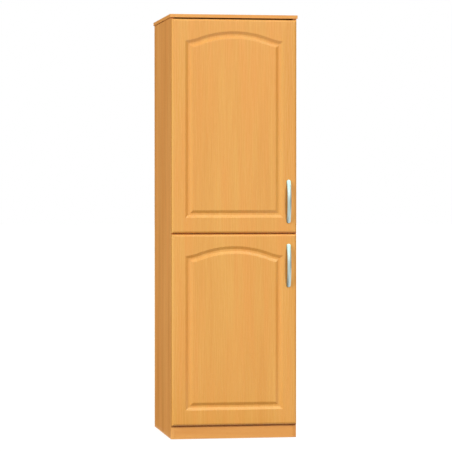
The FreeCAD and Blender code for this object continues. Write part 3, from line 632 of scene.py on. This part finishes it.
def dress_board(node, finish):
    low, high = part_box(node)
    board = copy_node(node)
    margin = Vector((BLOCK_MARGIN,) * 3)
    block = add_block(node + "_block", low - margin, high + margin)
    bpy.ops.object.mode_set(mode="EDIT")
    bpy.ops.mesh.select_all(action="SELECT")
    bpy.ops.mesh.bevel(offset=EASED_EDGE, segments=3, affect="EDGES")
    bpy.ops.object.mode_set(mode="OBJECT")
    cut_by(board, block, "INTERSECT")
    board.data.materials.append(finish)
    board.data.materials.append(raw_chips)
    raw = 0
    for face in board.data.polygons:
        depth = min(min(face.center - low), min(high - face.center))
        face.material_index = 1 if depth > SKIN else 0
        raw += face.material_index
    smooth(board)
    stand_for(board, node)
    print(f"{node}: {len(board.data.polygons)} faces, {raw} of them raw")


for node in ("side_left", "side_right"):
    dress_board(node, board_upright)
for node in ("top_board", "bottom_board", "divider_board", "plinth_board", "rear_plinth_rail",
             "middle_rear_rail", "top_rear_rail", "adjustable_shelf_1", "adjustable_shelf_2"):
    dress_board(node, board_level)

# %% [markdown]
# ## The back panel
# The hardboard at the back is sawn, not edged, so its rims are only rubbed off a little. Its front is
# lacquered like the boards, and the back shows the brown fibres.

# %% Back panel
RUBBED_EDGE = 0.4 * MM
LOOKS_FRONT = -0.5

panel = copy_node("upper_back_panel")
whole_faces(panel)
bpy.ops.object.mode_set(mode="EDIT")
bpy.ops.mesh.select_all(action="SELECT")
bpy.ops.mesh.bevel(offset=RUBBED_EDGE, segments=2, affect="EDGES")
bpy.ops.object.mode_set(mode="OBJECT")
panel.data.materials.append(hardboard_front)
panel.data.materials.append(hardboard_back)
for face in panel.data.polygons:
    face.material_index = 0 if face.normal.y < LOOKS_FRONT else 1
smooth(panel)
stand_for(panel, "upper_back_panel")
print(f"back panel: {len(panel.data.polygons)} faces")

# %% [markdown]
# ## The routed doors
# Each door is one fibreboard panel: its front edges slope off and end in a small round, a router has
# cut a moulded groove round an arched field, and foil is drawn over it all. By hand this is a slab, an
# arched face set into it, and a row of insets. Each inset adds one ring without moving it, and the
# ring is then set on a section. For the groove its sides step inwards, its arch takes a smaller
# radius about the same centre, and the whole ring goes down. So the corners stay mitred.

# %% Door sizes
LEAVES = ("upper", "lower")
NEAR = 1e-6
STILE = 65 * MM
FOOT_RAIL = 72 * MM
ARCH_RAIL = 56 * MM
ARCH_RADIUS = 485 * MM
ARCH_REACH = 170 * MM
SHOULDER_RADIUS = 250 * MM
# How far in and how far back each ring of the sloping edge lies, in millimetres.
EDGE_SLOPE = [(0.0, 11.0), (0.6, 9.0), (0.9, 6.6), (1.7, 4.7), (3.1, 3.1), (6.6, 1.2), (8.2, 0.55),
              (9.6, 0.17), (11.0, 0.0)]
FRAME_RIM = 2 * MM
ARCH_CUTS = 71


def arch_drop(across, inward=0.0):
    """How far the arch lies below the outer crown; past its reach it runs out in a reverse curve."""
    across = abs(across)
    radius = ARCH_RADIUS - inward
    lean = math.asin(ARCH_REACH / ARCH_RADIUS)
    if across <= radius * math.sin(lean):
        return ARCH_RADIUS - math.sqrt(radius ** 2 - across ** 2)
    shoulder = SHOULDER_RADIUS + inward
    hub_across = (ARCH_RADIUS + SHOULDER_RADIUS) * math.sin(lean)
    hub_rise = (ARCH_RADIUS + SHOULDER_RADIUS) * math.cos(lean) - ARCH_RADIUS
    return math.sqrt(shoulder ** 2 - (hub_across - across) ** 2) - hub_rise


print(f"the arch drops {arch_drop(ARCH_REACH) / MM:.1f} mm within its reach")

# %% Section of the groove
# All sizes of the section are in millimetres.
GROOVE_DEPTH = 7.0
WALL = [(0, 0), (0.5, 0.08), (1.0, 0.3), (12.9, 6.4), (14.0, 6.85), (15.2, GROOVE_DEPTH)]
FLANK = [(22.0, GROOVE_DEPTH), (22.8, 6.9), (23.6, 6.6), (34.4, 0.85)]
GROOVE_WIDTH = 39.0
ROLL_POWER = 2.4
ROLL_STEPS = 6


def groove_profile():
    """Width and depth in millimetres: wall, valley, and a flank that rolls over to the field."""
    points = WALL + FLANK
    roll_start, roll_depth = FLANK[-1]
    for step in range(1, ROLL_STEPS + 1):
        share = step / ROLL_STEPS
        width = roll_start + (GROOVE_WIDTH - roll_start) * share
        points.append((width, roll_depth * (1 - share) ** ROLL_POWER))
    return points


print(f"groove section of {len(groove_profile())} points")

# %% One door
def door_slab(name, low, high):
    """Slab whose front edge slopes off, and whose front face is opened for the arched field."""
    slab = add_block(name, low, high)
    front = low.y
    middle = (low + high) / 2
    half = (high - low) / 2
    bpy.ops.object.mode_set(mode="EDIT")
    select_where("FACE", lambda face: abs(face.calc_center_median().y - front) < NEAR)
    for inward, depth in EDGE_SLOPE:
        if inward:
            bpy.ops.mesh.inset(thickness=0, depth=0)
        work = bmesh.from_edit_mesh(slab.data)
        for vertex in next(face for face in work.faces if face.select).verts:
            vertex.co.x = middle.x + math.copysign(half.x - inward * MM, vertex.co.x - middle.x)
            vertex.co.z = middle.z + math.copysign(half.z - inward * MM, vertex.co.z - middle.z)
            vertex.co.y = front + depth * MM
        bmesh.update_edit_mesh(slab.data)
    bpy.ops.mesh.inset(thickness=FRAME_RIM, depth=0)
    bpy.ops.mesh.delete(type="ONLY_FACE")
    bpy.ops.object.mode_set(mode="OBJECT")
    return slab


def arched_field(name, low, high):
    """Flat face with an arched head, at the outer edge of the groove."""
    half = (high.x - low.x) / 2 - STILE
    crown = high.z - ARCH_RAIL
    foot = low.z + FOOT_RAIL
    bpy.ops.object.select_all(action="DESELECT")
    bpy.ops.mesh.primitive_plane_add(size=1, rotation=(math.radians(90), 0, 0))
    field = bpy.context.object
    field.name = name
    field.scale = (2 * half, crown - foot, 1)
    field.location = (0, low.y, (crown + foot) / 2)
    bpy.ops.object.transform_apply(location=True, rotation=True, scale=True)
    bpy.ops.object.mode_set(mode="EDIT")
    select_where("EDGE", lambda edge: all(vertex.co.z > crown - NEAR for vertex in edge.verts))
    bpy.ops.mesh.subdivide(number_cuts=ARCH_CUTS)
    bpy.ops.object.mode_set(mode="OBJECT")
    for vertex in field.data.vertices:
        if vertex.co.z > crown - NEAR:
            vertex.co.z = crown - arch_drop(vertex.co.x)
    return field


def route_groove(door, low, high):
    """Step the arched face inwards and down along the section of the groove."""
    half = (high.x - low.x) / 2 - STILE
    pick(door)
    bpy.ops.object.mode_set(mode="EDIT")
    select_where("EDGE", lambda edge: edge.is_boundary)
    bpy.ops.mesh.fill()
    select_where("FACE", lambda face: len(face.verts) > ARCH_CUTS)
    profile = [(width * MM, depth * MM) for width, depth in groove_profile()]
    for (width, depth), (next_width, next_depth) in zip(profile, profile[1:]):
        bpy.ops.mesh.inset(thickness=0, depth=0)
        work = bmesh.from_edit_mesh(door.data)
        field = next(face for face in work.faces if face.select)
        for vertex in field.verts:
            upper = vertex.co.z > (low.z + high.z) / 2
            vertex.co.x *= (half - next_width) / (half - width)
            arch = high.z - ARCH_RAIL - arch_drop(vertex.co.x, next_width)
            vertex.co.z = arch if upper else low.z + FOOT_RAIL + next_width
            vertex.co.y = low.y + next_depth
        bmesh.update_edit_mesh(door.data)
    bpy.ops.mesh.select_all(action="SELECT")
    bpy.ops.mesh.normals_make_consistent(inside=False)
    bpy.ops.object.mode_set(mode="OBJECT")


def make_door(node):
    low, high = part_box(node)
    door = door_slab(node + "_leaf", low, high)
    field = arched_field(node + "_field", low, high)
    pick(door)
    field.select_set(True)
    bpy.ops.object.join()
    route_groove(door, low, high)
    return door


doors = {which: make_door(f"{which}_door") for which in LEAVES}
for which, door in doors.items():
    print(f"{which} door: {len(door.data.polygons)} faces")

# %% [markdown]
# ## Bores in the back of a door
# The hinge cups sink into the back of the door, and the handle screws pass through it. The boxes of
# the separate solids in a node tell where they are: a copy of the node is split into its loose parts
# and each part is measured. A cylinder at each place is then cut out of the door.

# %% Solids of a node
def solid_boxes(node):
    """Lowest and highest corner of each separate solid in a node, from the bottom up."""
    whole = copy_node(node)
    pick(whole)
    bpy.ops.object.mode_set(mode="EDIT")
    bpy.ops.mesh.select_all(action="SELECT")
    bpy.ops.mesh.separate(type="LOOSE")
    bpy.ops.object.mode_set(mode="OBJECT")
    boxes = []
    for part in list(bpy.context.selected_objects):
        corners = [Vector(corner) for corner in part.bound_box]
        boxes.append((Vector(map(min, *corners)), Vector(map(max, *corners))))
        bpy.data.objects.remove(part)
    return sorted(boxes, key=lambda pair: (pair[0].z, pair[0].y))


def add_rod(name, start, toward, radius, sides=48):
    """Cylinder primitive from a start point along a vector."""
    bpy.ops.object.select_all(action="DESELECT")
    bpy.ops.mesh.primitive_cylinder_add(vertices=sides, radius=radius, depth=toward.length,
                                        location=start + toward / 2)
    made = bpy.context.object
    made.name = name
    made.rotation_mode = "QUATERNION"
    made.rotation_quaternion = toward.to_track_quat("Z", "Y")
    bpy.ops.object.transform_apply(location=True, rotation=True, scale=True)
    return made


# %% Bores and finish of the doors
CUP_BORE_RADIUS = 17.65 * MM
CUP_BORE_DEPTH = 13.15 * MM
CUP_SCREW_BORE_RADIUS = 1.6 * MM
HANDLE_SCREW_BORE_RADIUS = 2.1 * MM
CUP_RIM = 19.5 * MM
PROUD = 2 * MM
BELOW_GROOVE = 0.5 * MM
BELOW_BACK = 0.1 * MM


def bore(door, back, place, radius, depth):
    """Blind or through hole from the back of a door."""
    start = Vector((place.x, back + PROUD, place.z))
    cut_by(door, add_rod("bore", start, Vector((0, -depth - PROUD, 0)), radius))


for which, door in doors.items():
    low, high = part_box(f"{which}_door")
    for cup_low, cup_high in solid_boxes(f"{which}_hinge_cups"):
        middle = (cup_low + cup_high) / 2
        middle.x = cup_low.x + CUP_RIM
        bore(door, high.y, middle, CUP_BORE_RADIUS, CUP_BORE_DEPTH)
    for screw_low, screw_high in solid_boxes(f"{which}_hinge_cup_screws"):
        middle = (screw_low + screw_high) / 2
        bore(door, high.y, middle, CUP_SCREW_BORE_RADIUS, high.y - screw_low.y)
    for screw_low, screw_high in solid_boxes(f"{which}_handle_screws"):
        middle = (screw_low + screw_high) / 2
        bore(door, high.y, middle, HANDLE_SCREW_BORE_RADIUS, high.y - low.y + PROUD)
    door.data.materials.append(door_foil)
    door.data.materials.append(raw_chips)
    under_foil = low.y + GROOVE_DEPTH * MM + BELOW_GROOVE
    for face in door.data.polygons:
        from_low = face.center - low
        from_high = high - face.center
        inside = face.center.y > under_foil and from_high.y > BELOW_BACK
        away = min(from_low.x, from_high.x, from_low.z, from_high.z)
        face.material_index = 1 if inside and away > SKIN else 0
    mark_mitres(door)
    smooth(door)
    stand_for(door, f"{which}_door")
    print(f"{which} door finished with {len(door.data.polygons)} faces")

# %% [markdown]
# ## Bow handles
# A bow handle is a flat strap whose two ends are thick feet and whose middle stands off the door. It
# starts as a grid in front view, which is extruded to a front and a back. The ends are rounded by
# narrowing the last rows, and each row is set on its arc: the front from foot to foot and a little
# crowned, the back only between the feet. A bevel then softens the rim.

# %% Handles
FOOT_LENGTH = 16 * MM
FOOT_HEIGHT = 4.5 * MM
STRAP = 6.5 * MM
END_RADIUS = 8.6 * MM
CROWN = 1.1 * MM
SOFT_RIM = 1.9 * MM
STRIPS = 10
ROWS = 72


def bow(along, half, rise):
    """Height of a circular arc that is so high in the middle and ends at half."""
    radius = (half ** 2 + rise ** 2) / (2 * rise)
    return math.sqrt(radius ** 2 - along ** 2) - (radius - rise)


def make_handle(which):
    low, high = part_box(f"{which}_handle")
    middle = (low + high) / 2
    half_width = (high.x - low.x) / 2
    half_length = (high.z - low.z) / 2
    projection = high.y - low.y
    bpy.ops.object.select_all(action="DESELECT")
    bpy.ops.mesh.primitive_grid_add(x_subdivisions=STRIPS, y_subdivisions=ROWS, size=1,
                                    rotation=(math.radians(90), 0, 0))
    handle = bpy.context.object
    handle.name = f"{which}_handle_bow"
    handle.scale = (2 * half_width, 2 * half_length, 1)
    bpy.ops.object.transform_apply(location=True, rotation=True, scale=True)
    bpy.ops.object.mode_set(mode="EDIT")
    bpy.ops.mesh.select_all(action="SELECT")
    bpy.ops.mesh.extrude_region_move(TRANSFORM_OT_translate={"value": (0, -projection, 0)})
    bpy.ops.mesh.select_all(action="SELECT")
    bpy.ops.mesh.normals_make_consistent(inside=False)
    bpy.ops.object.mode_set(mode="OBJECT")
    for vertex in handle.data.vertices:
        along = abs(vertex.co.z)
        past = max(0.0, along - (half_length - END_RADIUS))
        end_width = half_width - END_RADIUS + math.sqrt(END_RADIUS ** 2 - past ** 2)
        vertex.co.x *= end_width / half_width
        if vertex.co.y < -projection / 2:
            arc = FOOT_HEIGHT + bow(along, half_length, projection - FOOT_HEIGHT)
            vertex.co.y = -arc + CROWN * (vertex.co.x / half_width) ** 2
        else:
            hollow = half_length - FOOT_LENGTH
            vertex.co.y = -bow(along, hollow, projection - STRAP) if along < hollow else 0
        vertex.co += Vector((middle.x, high.y, middle.z))
    bevel_rims(handle, SOFT_RIM, segments=4, degrees=50)
    handle.data.materials.append(satin)
    smooth(handle, degrees=40)
    stand_for(handle, f"{which}_handle")
    print(f"{which} handle: {len(handle.data.polygons)} faces")


for which in LEAVES:
    make_handle(which)

# %% [markdown]
# ## Turned pieces
# Screws, pins, bolts and bumpers are all round about an axis. Each kind is modelled once, upright with
# its top at the origin: a cylinder is the shank, and its top face grows ring by ring along a section,
# as the groove of the doors did. Copies are then turned the way the real ones point, put at the top
# of each solid of the node, and joined, because a node is one piece.

# %% Helpers for turned pieces
TURN_SIDES = 24
DOME_LEANS = (15, 30, 45, 60, 75, 84)


def grow_rings(piece, section):
    """Add a ring to the top face for each radius and height of a section."""
    pick(piece)
    top = max(vertex.co.z for vertex in piece.data.vertices)
    bpy.ops.object.mode_set(mode="EDIT")
    select_where("FACE", lambda face: all(vertex.co.z > top - NEAR for vertex in face.verts))
    for radius, height in section:
        bpy.ops.mesh.inset(thickness=0, depth=0)
        work = bmesh.from_edit_mesh(piece.data)
        ring = next(face for face in work.faces if face.select)
        for vertex in ring.verts:
            outward = Vector((vertex.co.x, vertex.co.y, 0)).normalized()
            vertex.co = outward * radius + Vector((0, 0, height))
        bmesh.update_edit_mesh(piece.data)
    bpy.ops.object.mode_set(mode="OBJECT")


def dome(radius, low, high, fullness=0.7):
    """Section of a dome of so large a radius between two heights."""
    section = []
    for degrees in DOME_LEANS:
        lean = math.radians(degrees)
        section.append((radius * math.cos(lean) ** fullness, low + (high - low) * math.sin(lean)))
    return section


def shank(name, radius, low, high):
    """Upright rod between two heights."""
    return add_rod(name, Vector((0, 0, low)), Vector((0, 0, high - low)), radius, TURN_SIDES)


def put_copies(template, node, top_way, finish):
    """Copy a template to the top of each solid of a node, and join the copies."""
    copies = []
    for low, high in solid_boxes(node):
        way = top_way(low, high)
        reach = abs((high - low).dot(way)) / 2
        copy = bpy.data.objects.new(f"{node}_{len(copies)}", template.data.copy())
        scene.collection.objects.link(copy)
        copy.location = (low + high) / 2 + way * reach
        copy.rotation_mode = "QUATERNION"
        copy.rotation_quaternion = way.to_track_quat("Z", "Y")
        copies.append(copy)
    pick(copies[0])
    for copy in copies:
        copy.select_set(True)
    bpy.ops.object.transform_apply(location=True, rotation=True, scale=True)
    bpy.ops.object.join()
    piece = bpy.context.object
    piece.name = node + "_dressed"
    piece.data.materials.append(finish)
    smooth(piece)
    stand_for(piece, node)
    print(f"{node}: {len(copies)} copies, {len(piece.data.polygons)} faces")


def toward_back(low, high):
    return Vector((0, 1, 0))


def toward_right(low, high):
    return Vector((1, 0, 0))


def toward_middle(low, high):
    return Vector((-math.copysign(1, low.x + high.x), 0, 0))


def along_length(low, high):
    """Outwards for a solid that lies level, and up for one that stands."""
    size = high - low
    return Vector((math.copysign(1, low.x + high.x), 0, 0)) if size.x > size.z else Vector((0, 0, 1))


# %% [markdown]
# ## Screws
# The doors hang on wood screws with a point, and the handles and hinge arms are held by machine screws
# with a blunt end. For the thread, the shank is cut into rings, and each vertex goes nearer to the
# axis or further away by its place on the helix. The head is a low dome. A cross of two tapered
# blocks is cut out of it for the driver.

# %% Threads and heads
RINGS_PER_TURN = 6
THREAD_DEPTH = 0.2
TIP_WIDTH = 0.25
RECESS_TAPER = 0.55


def cut_thread(rod, pitch, tip):
    """Set the vertices of a shank on a helix, with a tip of so long a taper at its foot."""
    heights = [vertex.co.z for vertex in rod.data.vertices]
    low = min(heights)
    high = max(heights)
    pick(rod)
    bpy.ops.object.mode_set(mode="EDIT")
    select_where("EDGE", lambda edge: abs(edge.verts[0].co.z - edge.verts[1].co.z) > (high - low) / 2)
    bpy.ops.mesh.subdivide(number_cuts=round((high - low) / pitch * RINGS_PER_TURN))
    bpy.ops.object.mode_set(mode="OBJECT")
    for vertex in rod.data.vertices:
        turn = math.atan2(vertex.co.y, vertex.co.x) / math.tau
        phase = (vertex.co.z / pitch - turn) % 1
        valley = abs(2 * phase - 1) * min(1, (high - vertex.co.z) / pitch)
        taper = min(1, TIP_WIDTH + (1 - TIP_WIDTH) * (vertex.co.z - low) / tip)
        share = (1 - THREAD_DEPTH * valley) * taper
        vertex.co.x *= share
        vertex.co.y *= share


def cut_cross(screw, span, width, depth):
    """Cross recess for the driver, narrower at its bottom."""
    for across, along in ((span, width), (width, span)):
        foot = Vector((-across / 2, -along / 2, -depth))
        blade = add_block("blade", foot, Vector((across / 2, along / 2, PROUD)))
        for vertex in blade.data.vertices:
            if vertex.co.z < 0:
                vertex.co.x *= RECESS_TAPER
                vertex.co.y *= RECESS_TAPER
        cut_by(screw, blade)


# %% Screws
# The head and its cross are shares of the head's radius and of the dome's height.
UNDER_HEAD = 0.93
RIM_START = 0.9
RIM_END = 0.6
CROSS_SPAN = 1.15
CROSS_WIDTH = 0.28
CROSS_DEPTH = 0.8
# Which way the head looks, and sizes in millimetres.
SCREWS = {
    "hinge_cup_screws": (toward_back, dict(radius=1.5, head=3.2, dome_height=1.4, pitch=1.2, tip=3.0)),
    "hinge_arm_screws": (toward_right, dict(radius=2.5, head=4.0, dome_height=1.5, pitch=0.8, tip=0.6)),
    "hinge_plate_screws": (toward_right, dict(radius=2.5, head=4.0, dome_height=2.0, pitch=1.6, tip=1.5)),
    "handle_screws": (toward_back, dict(radius=2.0, head=4.0, dome_height=2.5, pitch=0.7, tip=0.6)),
}


def make_screw(kind, length, radius, head, dome_height, pitch, tip):
    """Screw with its top at the origin; sizes in metres."""
    screw = shank(kind, radius, -length, -dome_height)
    cut_thread(screw, pitch, tip)
    rim = -RIM_END * dome_height
    section = [(UNDER_HEAD * head, -dome_height), (head, -RIM_START * dome_height), (head, rim)]
    grow_rings(screw, section + dome(head, rim, 0))
    cut_cross(screw, CROSS_SPAN * head, CROSS_WIDTH * head, CROSS_DEPTH * dome_height)
    return screw


for kind, (way, sizes) in SCREWS.items():
    low, high = solid_boxes(f"upper_{kind}")[0]
    length = (high - low).dot(way(low, high))
    screw = make_screw(kind, length, **{name: value * MM for name, value in sizes.items()})
    for which in LEAVES:
        put_copies(screw, f"{which}_{kind}", way, zinc)
    bpy.data.objects.remove(screw)

# %% [markdown]
# ## Bolts, dowels, shelf pins and bumpers
# A cam bolt screws into one board, and the lock in the other board grips it behind its round end. A
# dowel has flutes along it, so that glue and air can leave the hole, and its ends are chamfered. A shelf
# pin is a thick peg with a rounded end, and a bumper is a low dome of soft plastic.

# %% Cam bolts and dowels
BOLT_RADIUS = 3 * MM
BOLT_THREAD = 11 * MM
BOLT_PITCH = 1.8 * MM
BOLT_TIP = 1 * MM
STEM_RADIUS = 2.5 * MM
NECK_RADIUS = 1.8 * MM
NECK_FOOT = 7 * MM
NECK_TOP = 4 * MM
NECK_SLOPE = 1 * MM
ROUND_END = 2 * MM
COLLAR = 2 * MM
COLLAR_SLOPE = 0.4 * MM
END_CHAMFER = 0.8 * MM
FLUTES = 12
FLUTE_SHARE = 0.06


def inward(low, high):
    return -along_length(low, high)


low, high = solid_boxes("cam_bolts")[0]
length = max(high - low)
collar = BOLT_THREAD - length
bolt = shank("bolt", BOLT_RADIUS, -length, collar)
cut_thread(bolt, BOLT_PITCH, BOLT_TIP)
stem = [(BOLT_RADIUS, collar + COLLAR), (STEM_RADIUS, collar + COLLAR + COLLAR_SLOPE),
        (STEM_RADIUS, -NECK_FOOT - NECK_SLOPE), (NECK_RADIUS, -NECK_FOOT), (NECK_RADIUS, -NECK_TOP),
        (BOLT_RADIUS, NECK_SLOPE - NECK_TOP), (BOLT_RADIUS, -ROUND_END)]
grow_rings(bolt, stem + dome(BOLT_RADIUS, -ROUND_END, 0))
put_copies(bolt, "cam_bolts", inward, zinc)
bpy.data.objects.remove(bolt)

low, high = solid_boxes("dowels")[0]
dowel = shank("dowel", min(high - low) / 2, -max(high - low), 0)
bevel_rims(dowel, END_CHAMFER, segments=2, degrees=60)
for vertex in dowel.data.vertices:
    turn = math.atan2(vertex.co.y, vertex.co.x)
    share = 1 - FLUTE_SHARE * (1 - math.cos(FLUTES * turn)) / 2
    vertex.co.x *= share
    vertex.co.y *= share
put_copies(dowel, "dowels", along_length, dowel_wood)
bpy.data.objects.remove(dowel)

# %% Shelf pins and bumpers
PEG_RADIUS = 2.5 * MM
PEG_LENGTH = 8 * MM
PEG_CHAMFER = 0.5 * MM
PEG_ROUND = 1 * MM
BUMPER_RIM = 0.7 * MM

low, high = solid_boxes("shelf_pins")[0]
length = high.x - low.x
head_radius = (high.z - low.z) / 2
seat = PEG_LENGTH - length
pin = shank("pin", PEG_RADIUS, -length, seat)
bevel_rims(pin, PEG_CHAMFER, segments=2, degrees=60)
head = [(PEG_RADIUS, seat), (head_radius - PEG_CHAMFER, seat), (head_radius, seat + PEG_CHAMFER),
        (head_radius, -PEG_ROUND)]
grow_rings(pin, head + dome(head_radius, -PEG_ROUND, 0, fullness=0.3))
put_copies(pin, "shelf_pins", toward_middle, nickel)
bpy.data.objects.remove(pin)

low, high = solid_boxes("upper_door_bumpers")[0]
height = high.y - low.y
bumper_radius = (high.x - low.x) / 2
bumper = shank("bumper", bumper_radius, -height, BUMPER_RIM - height)
grow_rings(bumper, dome(bumper_radius, BUMPER_RIM - height, 0))
for which in LEAVES:
    put_copies(bumper, f"{which}_door_bumpers", toward_back, bumper_plastic)
bpy.data.objects.remove(bumper)

# %% [markdown]
# ## Hinges and cam locks
# A cup hinge is pressed from sheet steel: the cup in the door, the swan-neck arm that turns on a pin,
# and the plate on the side of the cabinet. Their forms are already right, so they are copied, the
# flat triangles are dissolved to whole faces, and a small bevel rounds each rim, as pressing does.

# %% Pressed steel
PRESSED_EDGE = 0.3 * MM


def ease_edges(node, finish):
    piece = copy_node(node)
    whole_faces(piece)
    bevel_rims(piece, PRESSED_EDGE, segments=2, degrees=40, use_clamp_overlap=False)
    piece.data.materials.append(finish)
    smooth(piece)
    stand_for(piece, node)
    print(f"{node}: {len(piece.data.polygons)} faces")


for which in LEAVES:
    for part in ("cups", "arms", "plates", "pins"):
        ease_edges(f"{which}_hinge_{part}", nickel)
ease_edges("cam_locks", zinc)

# %% [markdown]
# ## Sizes
# The dressed cabinet must keep the frame's size, so its box is measured and its growth over the frame's
# box printed.

# %% Sizes
visual_low, visual_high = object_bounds()
growth = (visual_high - visual_low) - (cad_high - cad_low)
print("grown by", [round(side / MM, 2) for side in growth], "mm")
